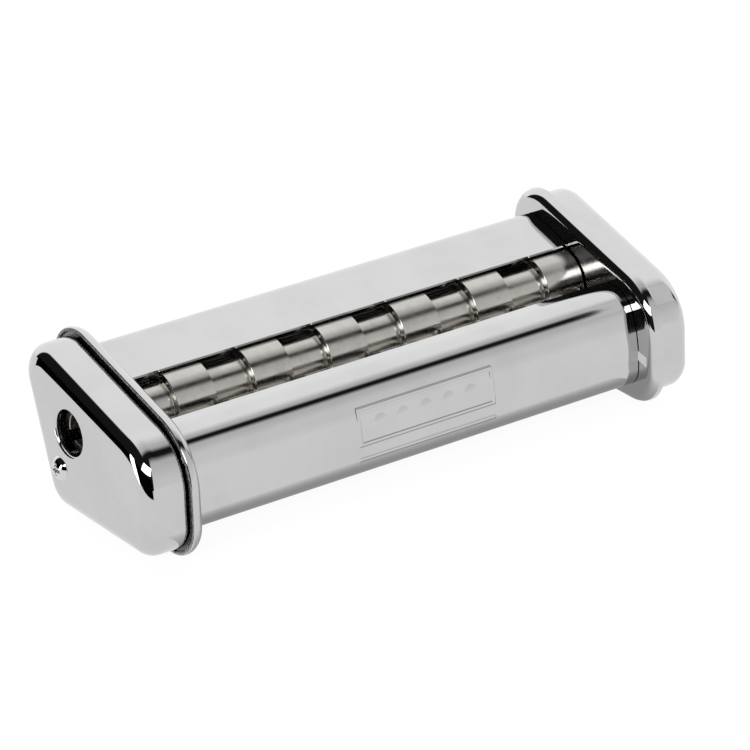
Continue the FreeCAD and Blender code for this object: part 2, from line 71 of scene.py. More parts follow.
class Wire:
    """A shader socket that Python sums can use; each operator adds one Math node to its tree."""

    def __init__(self, tree, socket=None):
        self.tree = tree
        self.socket = socket

    def node(self, kind, settings=None, sockets=None, out=0):
        """Adds a node: its settings first, then its sockets' values or links. Gives one output."""
        made = self.tree.nodes.new(kind)
        for name, value in (settings or {}).items():
            setattr(made, name, value)
        for name, value in (sockets or {}).items():
            if isinstance(value, Wire):
                self.tree.links.new(value.socket, made.inputs[name])
            else:
                made.inputs[name].default_value = value
        return Wire(self.tree, made.outputs[out]) if made.outputs else None

    def math(self, operation, first, second=0.0):
        """One Math node on two values or links."""
        return self.node("ShaderNodeMath", {"operation": operation}, {0: first, 1: second})

    def __add__(self, other):
        return self.math("ADD", self, other)

    def __sub__(self, other):
        return self.math("SUBTRACT", self, other)

    def __rsub__(self, other):
        return self.math("SUBTRACT", other, self)

    def __mul__(self, other):
        return self.math("MULTIPLY", self, other)

    def __truediv__(self, other):
        return self.math("DIVIDE", self, other)

    __radd__ = __add__
    __rmul__ = __mul__

    def step(self, low, high):
        """0 below low, 1 above high, and a smooth rise between them."""
        return self.node("ShaderNodeMapRange", {"interpolation_type": "SMOOTHSTEP"},
                         {"Value": self, "From Min": low, "From Max": high})

    def parts(self):
        """The X, Y and Z of a vector."""
        split = self.node("ShaderNodeSeparateXYZ", sockets={0: self})
        made = split.socket.node
        return [Wire(self.tree, made.outputs[i]) for i in range(3)]


# Tilt is a ray's angle from straight up towards the front, in degrees. The soft box and the wall
# are bands of tilt with a dark gap between them, and each ends at a slanting edge on the left.
SKY_TOP = 1.22
SKY_FRONT = 0.72
SKY_DARK = 0.012
TOP_DIMS = (-10, 16)
TOP_DIMS_BY = 0.45
TOP_ENDS = (14, 24)
TOP_EDGE_SLANT = 0.155
TOP_EDGE = 0.53
TOP_EDGE_SOFT = 0.04
WALL_BEGINS = (30.5, 43.5)
WALL_RISES = ((40, 80, 0.29), (80, 90, 0.14))
WALL_EDGE_SLANT = 1.45
WALL_EDGE_LEAN = 0.35
WALL_EDGE = (-0.05, 0.02)
WINDOW_LIGHT = 5.0
WINDOW_SOFT = 0.01
WINDOW_REAR_SLANT = 0.64
WINDOW_REAR = 0.023
WINDOW_FRONT = 0.72
WINDOW_TOP = 0.62
WINDOW_SILL_SLANT = 0.2
WINDOW_SILL = 0.238
WINDOW_LEFT = (0.3, 0.4)

bpy.context.scene.view_settings.view_transform = "Standard"
world = bpy.data.worlds.new("studio")
world.use_nodes = True
world.node_tree.nodes.clear()
bpy.context.scene.world = world
sky = Wire(world.node_tree)
x, y, z = sky.node("ShaderNodeTexCoord").parts()
tilt = sky.math("ARCTAN2", y * -1.0, z) * (180 / math.pi)
above_left = (x - y * TOP_EDGE_SLANT + TOP_EDGE).step(-TOP_EDGE_SOFT, TOP_EDGE_SOFT)
front_left = (x * WALL_EDGE_SLANT - y - z * WALL_EDGE_LEAN).step(*WALL_EDGE)
top_light = (1.0 - tilt.step(*TOP_ENDS)) * (1.0 - tilt.step(*TOP_DIMS) * TOP_DIMS_BY)
top_light = top_light * above_left * SKY_TOP
(low_from, low_to, low_rise), (high_from, high_to, high_rise) = WALL_RISES
front_rise = tilt.step(low_from, low_to) * low_rise + tilt.step(high_from, high_to) * high_rise
front_light = tilt.step(*WALL_BEGINS) * (front_rise + 1.0) * front_left * SKY_FRONT
window_edges = (z * -WINDOW_REAR_SLANT - y + WINDOW_REAR, y + WINDOW_FRONT,
                WINDOW_TOP - z, z + y * WINDOW_SILL_SLANT - WINDOW_SILL)
rear, front, top, sill = (edge.step(-WINDOW_SOFT, WINDOW_SOFT) for edge in window_edges)
in_window = rear * front * top * sill
window_light = in_window * (x * -1.0).step(*WINDOW_LEFT) * WINDOW_LIGHT
brightness = top_light + front_light + window_light + SKY_DARK
grey = sky.node("ShaderNodeCombineColor", sockets={0: brightness, 1: brightness, 2: brightness})
light = sky.node("ShaderNodeBackground", sockets={"Color": grey, "Strength": 1.0})
sky.node("ShaderNodeOutputWorld", sockets={"Surface": light})


def blank_material(name):
    """A new material without nodes, and the pen that adds them."""
    material = bpy.data.materials.new(name)
    material.use_nodes = True
    material.node_tree.nodes.clear()
    return material, Wire(material.node_tree)


def stage_sheet(name, corners, faces, shader, settings, only_reflected=False):
    """A piece of the studio with one plain shader; its corners are in metres."""
    mesh = bpy.data.meshes.new(name)
    mesh.from_pydata(corners, [], faces)
    sheet = bpy.data.objects.new(name, mesh)
    bpy.context.scene.collection.objects.link(sheet)
    material, pen = blank_material(name)
    pen.node("ShaderNodeOutputMaterial", sockets={"Surface": pen.node(shader, sockets=settings)})
    mesh.materials.append(material)
    for ray_kind in ("visible_camera", "visible_diffuse", "visible_shadow"):
        setattr(sheet, ray_kind, not only_reflected)
    return sheet


TABLE_SIZE = 6.0
TABLE_DIFFUSE = 0.12
TABLE_GLOW = 0.93
WHITE = (1, 1, 1, 1)
BLACK = (0, 0, 0, 1)
QUAD = [(0, 1, 2, 3)]
half = TABLE_SIZE / 2
stage_sheet("table_top", [(-half, -half, 0), (half, -half, 0), (half, half, 0), (-half, half, 0)],
            QUAD, "ShaderNodeBsdfPrincipled",
            {"Base Color": (TABLE_DIFFUSE, TABLE_DIFFUSE, TABLE_DIFFUSE, 1), "Roughness": 1.0,
             "Specular IOR Level": 0.0, "Emission Color": WHITE, "Emission Strength": TABLE_GLOW})
FLAG_CENTRE = (-0.085, 0.005)
FLAG_RADIUS = 0.105
FLAG_FROM, FLAG_TO, FLAG_STEP = 118, 240, 2
FLAG_HEIGHT = 0.05
around = [math.radians(a) for a in range(FLAG_FROM, FLAG_TO + 1, FLAG_STEP)]
foot = [(FLAG_CENTRE[0] + FLAG_RADIUS * math.cos(a), FLAG_CENTRE[1] + FLAG_RADIUS * math.sin(a))
        for a in around]
count = len(foot)
stage_sheet("black_flag", [(*p, 0.0) for p in foot] + [(*p, FLAG_HEIGHT) for p in foot],
            [(i, i + 1, count + i + 1, count + i) for i in range(count - 1)],
            "ShaderNodeEmission", {"Color": BLACK}, only_reflected=True)
CARD_FOOT = ((-0.1694, 0.0054), (-0.1652, 0.030))
CARD_TOP = ((-0.1754, 0.014, 0.052), (-0.1792, -0.001, 0.054))
CARD_LIGHT = 4.0
stage_sheet("white_card", [(*p, 0.0) for p in CARD_FOOT] + [*CARD_TOP], QUAD,
            "ShaderNodeEmission", {"Color": WHITE, "Strength": CARD_LIGHT}, only_reflected=True)
FILL_CORNERS = [(0.236, -0.066, 0.282), (0.52, -0.066, 0.282),
                (0.52, -0.210, 0.202), (0.236, -0.210, 0.202)]
FILL_LIGHT = 0.85
stage_sheet("side_fill", FILL_CORNERS, QUAD,
            "ShaderNodeEmission", {"Strength": FILL_LIGHT}, only_reflected=True)
# Painted shadow: a sheet seen only in reflections, dimmer towards the body like a contact shadow.
SHADE_HALF = 0.0755
SHADE_BACK = 0.008  # under the body, so that the rear cover does not mirror its edge
SHADE_FROM, SHADE_TO = 0.022, 0.046
SHADE_ABOVE_TABLE = 0.0003
SHADE_LIGHT = 1.04
SHADE_LEAST = 0.4
shade_corners = [(-SHADE_HALF, -SHADE_TO), (SHADE_HALF, -SHADE_TO),
                 (SHADE_HALF, SHADE_BACK), (-SHADE_HALF, SHADE_BACK)]
shade = stage_sheet("floor_painted_shadow", [(*p, SHADE_ABOVE_TABLE) for p in shade_corners], QUAD,
                    "ShaderNodeEmission", {"Strength": SHADE_LIGHT}, only_reflected=True)
pen = Wire(shade.data.materials[0].node_tree)
_, forward, _ = pen.node("ShaderNodeTexCoord", out=3).parts()
# painted shadow: SHADE_LEAST of the glow near the body, the full glow from SHADE_TO forward
lit = (forward * -1.0).step(SHADE_FROM, SHADE_TO) * (1 - SHADE_LEAST) + SHADE_LEAST
fade = pen.node("ShaderNodeCombineColor", sockets={0: lit, 1: lit, 2: lit})
pen.tree.links.new(fade.socket, pen.tree.nodes["Emission"].inputs["Color"])

# ---- cheeks ---------------------------------------------------------------------------------
# Each cheek is a shallow tray pressed from 1 mm steel sheet and chrome-plated. Its rim turns
# away from the rollers and ends in a raw sheared edge; its flat floor carries the bushes.
RIM_CORNERS = np.array([(38.37, 52.07), (-29.97, 32.84), (-31.93, 0.0), (18.47, 0.0)])
RIM_RADII = np.array([10.9, 18.9, 10.3, 10.2])
ARC_STEPS = 20
SIDE_STEPS = 12
CHEEK_X = 72.4
CHEEK_SHEET = 1.0
CHEEK_RIM_X = 76.25
CHEEK_BEND = 3.2
RIM_ROUND = 0.55
BEND_STEPS = 12
FLOOR_LAP = 0.06        # how far the flat floor starts inside the end of the bend
BUSH_SEAT_R = 6.0
SOCKET_BUSH_SEAT_R = 7.5
INSERT_SEAT_R = 2.3
ROD_HOLE_R = 1.77
DRIVING_AXIS = np.array((7.8, 25.5))
DRIVEN_AXIS = np.array((-9.4, 20.2))
SCREW_AT = np.array((12.2, 13.9))
ROD_AXES = np.array([(-6.0, 7.6), (9.6, 7.6), (19.5, 33.0)])
RAW_EDGE_WOBBLE = 0.035
RAW_EDGE_DEPTH = 0.12


def rim_outline():
    """Points round the rim's outline in Y, Z and the outward direction at each.

    A corner's points lie on its arc, at the arc's centre plus the radius times the outward
    direction; a side's points lie evenly between the ends of the arcs on either side of it.
    """
    before = np.roll(RIM_CORNERS, 1, axis=0)
    after = np.roll(RIM_CORNERS, -1, axis=0)
    arriving = (RIM_CORNERS - before) / np.linalg.norm(RIM_CORNERS - before, axis=1, keepdims=True)
    leaving = (after - RIM_CORNERS) / np.linalg.norm(after - RIM_CORNERS, axis=1, keepdims=True)
    start = np.arctan2(-arriving[:, 0], arriving[:, 1])
    swing = np.arccos((arriving * leaving).sum(1))
    inward = leaving - arriving
    inward /= np.linalg.norm(inward, axis=1, keepdims=True)
    centres = RIM_CORNERS + inward * (RIM_RADII / np.cos(swing / 2))[:, None]
    angle = start[:, None] + swing[:, None] * np.linspace(0, 1, ARC_STEPS + 1)
    outward = np.stack([np.cos(angle), np.sin(angle)], -1)
    arcs = centres[:, None] + RIM_RADII[:, None, None] * outward
    along = np.linspace(0, 1, SIDE_STEPS + 1)[1:-1, None]
    points, normals = [], []
    for corner in range(len(RIM_CORNERS)):
        following = (corner + 1) % len(RIM_CORNERS)
        side = arcs[corner, -1] * (1 - along) + arcs[following, 0] * along
        points += [arcs[corner], side]
        normals += [outward[corner], np.repeat(outward[corner, -1:], len(along), axis=0)]
    return np.concatenate(points), np.concatenate(normals)


RIM, RIM_OUTWARD = rim_outline()


def rim_rings(insets, xs):
    """One ring of the rim's outline for each inset and x: the outline less inset times outward."""
    insets = np.asarray(insets, float)[:, None, None]
    flat = RIM - insets * RIM_OUTWARD
    xs = np.broadcast_to(np.asarray(xs, float)[:, None, None], (*flat.shape[:2], 1))
    return np.concatenate([xs, flat], -1)


def arc(centre, radius, start, end, steps):
    """Points on an arc: centre plus radius times the cosine and sine of each angle in degrees."""
    angle = np.radians(np.linspace(start, end, steps + 1))
    return np.stack([centre[0] + radius * np.cos(angle), centre[1] + radius * np.sin(angle)], -1)


def circle(centre, radius, steps=64):
    """Points round a circle: an arc of 360 degrees less its last point."""
    return arc(centre, radius, 0, 360, steps)[:-1]


class Shell:
    """The surfaces of one piece, gathered and then joined into one closed mesh, in millimetres."""

    def __init__(self):
        self.points, self.faces, self.count = [], [], 0

    def add(self, points, faces):
        """Takes one more surface; its faces count its own points from 0."""
        self.points.append(np.asarray(points, float).reshape(-1, 3))
        self.faces.append(np.asarray(faces, int) + self.count)
        self.count += len(self.points[-1])

    def grid(self, points, round_u=False, round_v=True):
        """Quads between neighbouring points of a grid; a round direction joins its two ends."""
        rows, columns = points.shape[:2]
        u = np.arange(rows if round_u else rows - 1)
        v = np.arange(columns if round_v else columns - 1)
        u, v = np.meshgrid(u, v, indexing="ij")
        next_u, next_v = (u + 1) % rows, (v + 1) % columns
        corners = [u * columns + v, u * columns + next_v,
                   next_u * columns + next_v, next_u * columns + v]
        self.add(points, np.stack(corners, -1).reshape(-1, 4))

    def flat(self, x, outline, holes=()):
        """Triangles that fill a flat outline at x, less its holes.

        A triangle is kept if a ray from its middle towards smaller values crosses the loops an
        odd number of times.
        """
        loops = [np.asarray(outline), *map(np.asarray, holes)]
        starts = np.cumsum([0] + [len(loop) for loop in loops])
        along = [np.arange(len(loop)) for loop in loops]
        edges = np.concatenate([start + np.stack([i, (i + 1) % len(i)], -1)
                                for start, i in zip(starts, along)])
        edges = list(map(tuple, edges.tolist()))
        flat_points = list(map(Vector, np.concatenate(loops).tolist()))
        found, _, triangles, *_ = delaunay_2d_cdt(flat_points, edges, [], 0, 1e-7)
        found, triangles = np.array(found), np.array(triangles)
        middle = found[triangles].mean(1)
        inside = np.zeros(len(middle), int)
        for loop in loops:
            ahead = np.roll(loop, -1, axis=0)
            rises = (loop[:, 1] > middle[:, None, 1]) != (ahead[:, 1] > middle[:, None, 1])
            drop = np.where(ahead[:, 1] == loop[:, 1], 1, ahead[:, 1] - loop[:, 1])
            run = ahead[:, 0] - loop[:, 0]
            cross_at = loop[:, 0] + (middle[:, None, 1] - loop[:, 1]) * run / drop
            inside += (rises & (middle[:, None, 0] < cross_at)).sum(1)
        kept = triangles[inside % 2 == 1]
        self.add(np.concatenate([np.full((len(found), 1), x), found], 1), kept)

    def piece(self, name, sharp=35.0):
        """The finished object: one merged mesh in metres, facing outwards, smooth to its edges."""
        mesh = bpy.data.meshes.new(name)
        faces = sum((group.tolist() for group in self.faces), [])
        mesh.from_pydata((np.concatenate(self.points) * MM).tolist(), [], faces)
        work = bmesh.new()
        work.from_mesh(mesh)
        bmesh.ops.remove_doubles(work, verts=work.verts, dist=0.002 * MM)
        bmesh.ops.dissolve_degenerate(work, edges=work.edges, dist=0.0005 * MM)
        bmesh.ops.recalc_face_normals(work, faces=work.faces)
        work.to_mesh(mesh)
        work.free()
        mesh.shade_smooth()
        mesh.set_sharp_from_angle(angle=math.radians(sharp))
        made = bpy.data.objects.new(name, mesh)
        bpy.context.scene.collection.objects.link(made)
        return made


def circle_wall(shell, centre, radius, xs, steps=64):
    """The wall of a round hole or post, from one x to the next."""
    ring = circle(centre, radius, steps)
    wall = [np.concatenate([np.full((steps, 1), x), ring], 1) for x in xs]
    shell.grid(np.array(wall))


def mirrored(shell):
    """The same shell at the other end of the attachment."""
    for points in shell.points:
        points[:, 0] *= -1
    return shell


def chrome(name, tint=(0.556, 0.557, 0.561), wave=0.012):
    """Mirror chrome over pressed steel: faint waves from the press, fine specks, light smears."""
    material, pen = blank_material(name)
    here = pen.node("ShaderNodeTexCoord", out=3)
    smear = pen.node("ShaderNodeTexNoise",
                     sockets={"Vector": here, "Scale": 60.0, "Detail": 5.0, "Roughness": 0.6})
    waves = pen.node("ShaderNodeTexNoise", sockets={"Vector": here, "Scale": 45.0, "Detail": 2.0})
    specks = pen.node("ShaderNodeTexNoise",
                      sockets={"Vector": here, "Scale": 2600.0, "Detail": 2.0})
    colour = pen.node("ShaderNodeMix", {"data_type": "RGBA"},
                      {"Factor": smear.step(0.3, 0.8), 6: (*tint, 1),
                       7: (*[c * 0.93 for c in tint], 1)}, out=2)
    height = waves * wave + specks * 0.0004
    bump = pen.node("ShaderNodeBump",
                    sockets={"Strength": 0.6, "Distance": 0.001, "Height": height})
    surface = pen.node("ShaderNodeBsdfPrincipled",
                       sockets={"Base Color": colour, "Metallic": 1.0,
                                "Roughness": smear.step(0.35, 0.85) * 0.05 + 0.035, "Normal": bump})
    pen.node("ShaderNodeOutputMaterial", sockets={"Surface": surface})
    return material


sheet_chrome = chrome("sheet_chrome")


def cheek(driving_hole):
    """The right cheek: its sheet's section carried round the rim's outline, and its flat floor.

    The section is in inset and x: down the inner bend, round the raw edge, back over the outer
    bend. Past the raw edge's start each point is drawn in by the size of a random draw.
    """
    bend_x = CHEEK_X + CHEEK_BEND
    outer = arc((CHEEK_BEND, bend_x), CHEEK_BEND, 180, 270, BEND_STEPS)
    inner = arc((CHEEK_BEND, bend_x), CHEEK_BEND - CHEEK_SHEET, 270, 180, BEND_STEPS)
    flat_in = CHEEK_BEND + FLOOR_LAP
    section = np.concatenate([
        [(flat_in, CHEEK_X + CHEEK_SHEET)], inner,
        [(CHEEK_SHEET, CHEEK_RIM_X - 0.1), (CHEEK_SHEET - 0.1, CHEEK_RIM_X)],
        arc((RIM_ROUND, CHEEK_RIM_X - RIM_ROUND), RIM_ROUND, 90, 180, 8),
        outer, [(flat_in, CHEEK_X)]])
    rings = rim_rings(section[:, 0], section[:, 1])
    wobble = np.random.default_rng(7).normal(0, RAW_EDGE_WOBBLE, rings.shape[1])
    at_edge = rings[:, :, 0] > CHEEK_RIM_X - 0.05
    rings[:, :, 0] -= np.where(at_edge, np.abs(wobble), 0)
    shell = Shell()
    shell.grid(rings)
    holes = [(DRIVING_AXIS, driving_hole), (DRIVEN_AXIS, BUSH_SEAT_R), (SCREW_AT, INSERT_SEAT_R)]
    holes += [(axis, ROD_HOLE_R) for axis in ROD_AXES]
    floor_outline = RIM - flat_in * RIM_OUTWARD
    for x in (CHEEK_X, CHEEK_X + CHEEK_SHEET):
        shell.flat(x, floor_outline, [circle(*hole) for hole in holes])
    for centre, radius in holes:
        circle_wall(shell, centre, radius, (CHEEK_X, CHEEK_X + CHEEK_SHEET))
    return shell


def sheared_steel():
    """The raw end of the sheet: dull grey steel, torn and burred, unlike the plated faces."""
    material, pen = blank_material("sheared_steel")
    here = pen.node("ShaderNodeTexCoord", out=3)
    burrs = pen.node("ShaderNodeTexNoise",
                     sockets={"Vector": here, "Scale": 2200.0, "Detail": 5.0, "Roughness": 0.7})
    colour = pen.node("ShaderNodeMix", {"data_type": "RGBA"},
                      {"Factor": burrs.step(0.35, 0.65), 6: (0.10, 0.10, 0.10, 1),
                       7: (0.52, 0.52, 0.52, 1)}, out=2)
    bump = pen.node("ShaderNodeBump",
                    sockets={"Strength": 0.8, "Distance": 0.0004, "Height": burrs})
    surface = pen.node("ShaderNodeBsdfPrincipled",
                       sockets={"Base Color": colour, "Metallic": 0.7,
                                "Roughness": burrs * 0.3 + 0.3, "Normal": bump})
    pen.node("ShaderNodeOutputMaterial", sockets={"Surface": surface})
    return material


raw_edge = sheared_steel()
for side, shell in (("right", cheek(BUSH_SEAT_R)), ("left", mirrored(cheek(SOCKET_BUSH_SEAT_R)))):
    pressing = shell.piece(side + "_cheek_pressing")
    pressing.data.materials.append(sheet_chrome)
    pressing.data.materials.append(raw_edge)
    middles = np.empty(3 * len(pressing.data.polygons))
    pressing.data.polygons.foreach_get("center", middles)
    sheared = np.abs(middles[::3]) > (CHEEK_RIM_X - RAW_EDGE_DEPTH) * MM
    pressing.data.polygons.foreach_set("material_index", sheared.astype(np.int32))
    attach(pressing, "housing")
    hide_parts(side + "_cheek")

# ---- end caps -------------------------------------------------------------------------------
# Each cap is a deep-drawn shell of 0.9 mm sheet that nests inside its cheek's rim and hides the
# gears or the crank socket. One screw holds it; the left one has the crank's hole, turned in.
CAP_SHEET = 0.9
CAP_INSET = 2.15
CAP_X0 = 73.75
CAP_X1 = 87.6
CAP_EDGE = 5.0
CAP_EDGE_STEPS = 18
FACE_LAP = 0.08         # how far the flat face starts inside the end of the edge
SCREW_HOLE = 1.85
CRANK_HOLE = 6.1
COLLAR_DEPTH = 1.5
COLLAR_BEND = 0.75
COLLAR_LAP = 0.05
COLLAR_STEPS = 96


def cap(crank_hole):
    """The right cap: its section carried round the rim's outline, then a flat face with holes.

    The section is in inset and x: a straight wall, then a quarter circle. The crank's hole is a
    profile of x and radius turned about its axis: a quarter circle in, then a short collar.
    """
    edge_x = CAP_X1 - CAP_EDGE
    middle = (CAP_INSET + CAP_EDGE, edge_x)
    wall_x = np.linspace(CAP_X0, edge_x, 5)[:-1]
    outer = arc(middle, CAP_EDGE, 180, 90, CAP_EDGE_STEPS)
    inner = arc(middle, CAP_EDGE - CAP_SHEET, 90, 180, CAP_EDGE_STEPS)
    flat_in = CAP_INSET + CAP_EDGE + FACE_LAP
    section = np.concatenate([
        np.stack([np.full(4, CAP_INSET), wall_x], -1), outer, [(flat_in, CAP_X1)]])
    back = np.concatenate([
        [(flat_in, CAP_X1 - CAP_SHEET)], inner,
        np.stack([np.full(4, CAP_INSET + CAP_SHEET), wall_x[::-1]], -1)])
    shell = Shell()
    shell.grid(rim_rings(section[:, 0], section[:, 1]))
    shell.grid(rim_rings(back[:, 0], back[:, 1]))
    shell.grid(rim_rings([CAP_INSET, CAP_INSET + CAP_SHEET], [CAP_X0, CAP_X0]))
    outline = RIM - flat_in * RIM_OUTWARD
    front_holes, back_holes = [circle(SCREW_AT, SCREW_HOLE)], [circle(SCREW_AT, SCREW_HOLE)]
    circle_wall(shell, SCREW_AT, SCREW_HOLE, (CAP_X1 - CAP_SHEET, CAP_X1))
    if crank_hole:
        mouth = CRANK_HOLE + COLLAR_BEND
        collar_out = CRANK_HOLE + CAP_SHEET
        front_holes.append(circle(DRIVING_AXIS, mouth + COLLAR_LAP, COLLAR_STEPS))
        back_holes.append(circle(DRIVING_AXIS, collar_out, COLLAR_STEPS))
        turned = arc((CAP_X1 - COLLAR_BEND, mouth), COLLAR_BEND, 0, -90, 8)
        collar_x = CAP_X1 - COLLAR_DEPTH
        profile = np.concatenate([[(CAP_X1, mouth + COLLAR_LAP)], turned,
                                  [(collar_x, CRANK_HOLE), (collar_x, collar_out),
                                   (CAP_X1 - CAP_SHEET, collar_out)]])
        ring = circle((0, 0), 1, COLLAR_STEPS)
        rings = profile[:, 1, None, None] * ring + DRIVING_AXIS
        xs = np.broadcast_to(profile[:, 0, None, None], (*rings.shape[:2], 1))
        shell.grid(np.concatenate([xs, rings], -1))
    shell.flat(CAP_X1, outline, front_holes)
    shell.flat(CAP_X1 - CAP_SHEET, outline, back_holes)
    return shell


for side, shell in (("right", cap(False)), ("left", mirrored(cap(True)))):
    drawn = shell.piece(side + "_cap_shell")
    drawn.data.materials.append(sheet_chrome)
    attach(drawn, "housing")
    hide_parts(side + "_cap")

# ---- covers ---------------------------------------------------------------------------------
# Two lengths of 0.7 mm sheet, folded and chrome-plated, close the body between the cheeks. The
# gap between them is the feed slot. The front one carries a plain raised panel of round studs.
COVER_SHEET = 0.7
COVER_END = CHEEK_X - 0.2
FRONT_COVER = np.array([(-10.2, 31.15), (-19.4, 31.7), (-24.3, 20.1), (-25.1, 4.45), (-7.5, 4.45)])
FRONT_RADII = [0, 9.0, 35.0, 6.5, 0]
REAR_COVER = np.array([(8.4, 3.8), (13.0, 3.8), (27.9, 42.4), (6.4, 36.3)])
REAR_RADII = [0, 6.0, 4.2, 0]
PANEL_CENTRE = (2.0, 19.6)
PANEL_SIZE = (44.0, 10.0)
PANEL_LINE = 0.9
PANEL_FALL = 0.5
PANEL_STUDS = 5
STUD_R = 2.2
RULE_Z = 11.0
RAISED = 0.3


def bent_path(corners, radii, step=0.02):
    """A folded sheet's outer line in Y, Z as fine points, its inward direction, and the lengths.

    Straight runs join arcs that touch both sides of each corner.
    """
    points = [corners[:1]]
    for before, corner, after, radius in zip(corners, corners[1:], corners[2:], radii[1:]):
        a = (corner - before) / np.linalg.norm(corner - before)
        b = (after - corner) / np.linalg.norm(after - corner)
        swing = math.acos(float(a @ b))
        inward = (b - a) / np.linalg.norm(b - a)
        centre = corner + inward * radius / math.cos(swing / 2)
        touch = corner - a * radius * math.tan(swing / 2) - centre
        start = math.degrees(math.atan2(*touch[::-1]))
        steps = int(radius * swing / step) + 2
        points.append(arc(centre, radius, start, start + math.degrees(swing), steps))
    points.append(corners[-1:])
    rough = np.concatenate(points)
    pieces = np.linalg.norm(np.diff(rough, axis=0), axis=1)
    lengths = np.concatenate([[0], np.cumsum(pieces)])
    even = np.arange(0, lengths[-1], step)
    path = np.stack([np.interp(even, lengths, rough[:, i]) for i in range(2)], -1)
    tangent = np.gradient(path, axis=0)
    tangent /= np.linalg.norm(tangent, axis=1, keepdims=True)
    return path, np.stack([-tangent[:, 1], tangent[:, 0]], -1), even


def panel_height(x, z):
    """How far the front cover is raised, 0 to 1: a frame, domed studs inside it and a line below.

    Frame and line are 1 within their half width and fall smoothly over half a millimetre; a
    stud is one less the square of the distance from its middle over the square of its radius.
    """
    def bar(distance, half_width):
        rise = np.clip((half_width + PANEL_FALL / 2 - distance) / PANEL_FALL, 0, 1)
        return rise * rise * (3 - 2 * rise)
    half_w, half_h = PANEL_SIZE[0] / 2, PANEL_SIZE[1] / 2
    across, up = x - PANEL_CENTRE[0], z - PANEL_CENTRE[1]
    past_edge = np.maximum(np.abs(across) - half_w, np.abs(up) - half_h)
    framing = bar(np.abs(past_edge + PANEL_LINE / 2), PANEL_LINE / 2)
    pitch = PANEL_SIZE[0] / (PANEL_STUDS + 1)
    nearest = np.clip(np.round((across + half_w) / pitch), 1, PANEL_STUDS) * pitch - half_w
    studs = np.clip(1 - ((across - nearest) ** 2 + up ** 2) / STUD_R ** 2, 0, 1)
    rule = np.minimum(bar(np.abs(z - RULE_Z), PANEL_LINE / 2), bar(np.abs(across), half_w))
    return np.maximum(np.maximum(framing, studs), rule)


def cover(corners, radii, rows, columns, raised=None):
    """A folded sheet: its line carried along X, its back offset inwards, and both sheared edges."""
    path, inward, lengths = bent_path(corners, radii)
    line = np.stack([np.interp(rows, lengths, path[:, i]) for i in range(2)], -1)
    inside = np.stack([np.interp(rows, lengths, inward[:, i]) for i in range(2)], -1)
    lift = np.zeros((len(rows), len(columns)))
    if raised is not None:
        lift = RAISED * raised(columns[None, :], line[:, 1, None])
        lift[line[:, 0] > DRIVEN_AXIS[0]] = 0
    outer = line[:, None] - inside[:, None] * lift[..., None]
    inner = np.repeat((line + inside * COVER_SHEET)[:, None], len(columns), axis=1)
    xs = np.broadcast_to(columns[None, :, None], (len(rows), len(columns), 1))
    shell = Shell()
    shell.grid(np.concatenate([xs, outer], -1), round_v=False)
    shell.grid(np.concatenate([xs[:, [0, -1]], inner[:, [0, -1]]], -1), round_v=False)
    for end in (0, -1):
        edge = np.stack([np.concatenate([xs[end], outer[end]], -1),
                         np.concatenate([xs[end], inner[end]], -1)])
        shell.grid(edge, round_v=False)
        cut = np.stack([np.concatenate([xs[:, end], outer[:, end]], -1),
                        np.concatenate([xs[:, end], inner[:, end]], -1)])
        shell.grid(cut, round_v=False)
    return shell


front_length = bent_path(FRONT_COVER, FRONT_RADII)[2][-1]
rear_length = bent_path(REAR_COVER, REAR_RADII)[2][-1]
COARSE, FINE = 0.5, 0.15
front_rows = np.unique(np.concatenate([np.arange(0, front_length, COARSE),
                                       np.arange(12.0, 33.0, FINE), [front_length]]))
front_columns = np.unique(np.concatenate([np.linspace(-COVER_END, COVER_END, 30),
                                          np.arange(-21, 25.05, FINE)]))
rear_rows = np.unique(np.concatenate([np.arange(0, rear_length, COARSE), [rear_length]]))
COVERS = {
    "front": (FRONT_COVER, FRONT_RADII, front_rows, front_columns, panel_height),
    "rear": (REAR_COVER, REAR_RADII, rear_rows, np.linspace(-COVER_END, COVER_END, 60), None),
}
for side, shape in COVERS.items():
    folded = cover(*shape).piece(side + "_cover_sheet")
    folded.data.materials.append(sheet_chrome)
    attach(folded, "housing")
    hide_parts(side + "_cover")

# ---- cutting rollers ------------------------------------------------------------------------
# Each roller is turned from one steel bar and nickel-plated: discs one ribbon wide, with a
# recess as wide between them for the other roller's discs. The lathe's fine rings still show.
BAND = 12.0
BANDS = 12
ROLLER_END = 72.0
DISC_R = 9.6
RECESS_R = 7.6
DISC_GAP = 0.05
DISC_CHAMFER = 0.12
RECESS_FILLET = 0.25
SEAT_R = 3.5
SEAT_FLAT = 2.8
SEAT_X = 77.0
SHAFT_END_X = 85.2
GROOVE_R = 2.9
GROOVE_X = 83.6
RING_SHEET = 0.8
JOURNAL_R = 4.0


def turned(axis, profile, steps=144, flat_from=None):
    """A profile of x, radius points turned about an axis: y and z are the axis plus the radius
    times the cosine and sine of the angle. Beyond flat_from the radius is at most the flat's
    height over the sine, which makes a flat on top."""
    profile = np.asarray(profile, float)
    angle = np.linspace(0, 2 * math.pi, steps, endpoint=False)
    radius = np.broadcast_to(profile[:, 1, None], (len(profile), steps)).copy()
    if flat_from is not None:
        rise = np.maximum(np.sin(angle), 1e-3)
        beyond = profile[:, 0] > flat_from
        radius[beyond] = np.minimum(radius[beyond], SEAT_FLAT / rise)
    xs = np.broadcast_to(profile[:, 0, None], radius.shape)
    points = np.stack([xs, axis[0] + radius * np.cos(angle), axis[1] + radius * np.sin(angle)], -1)
    shell = Shell()
    shell.grid(points)
    return shell


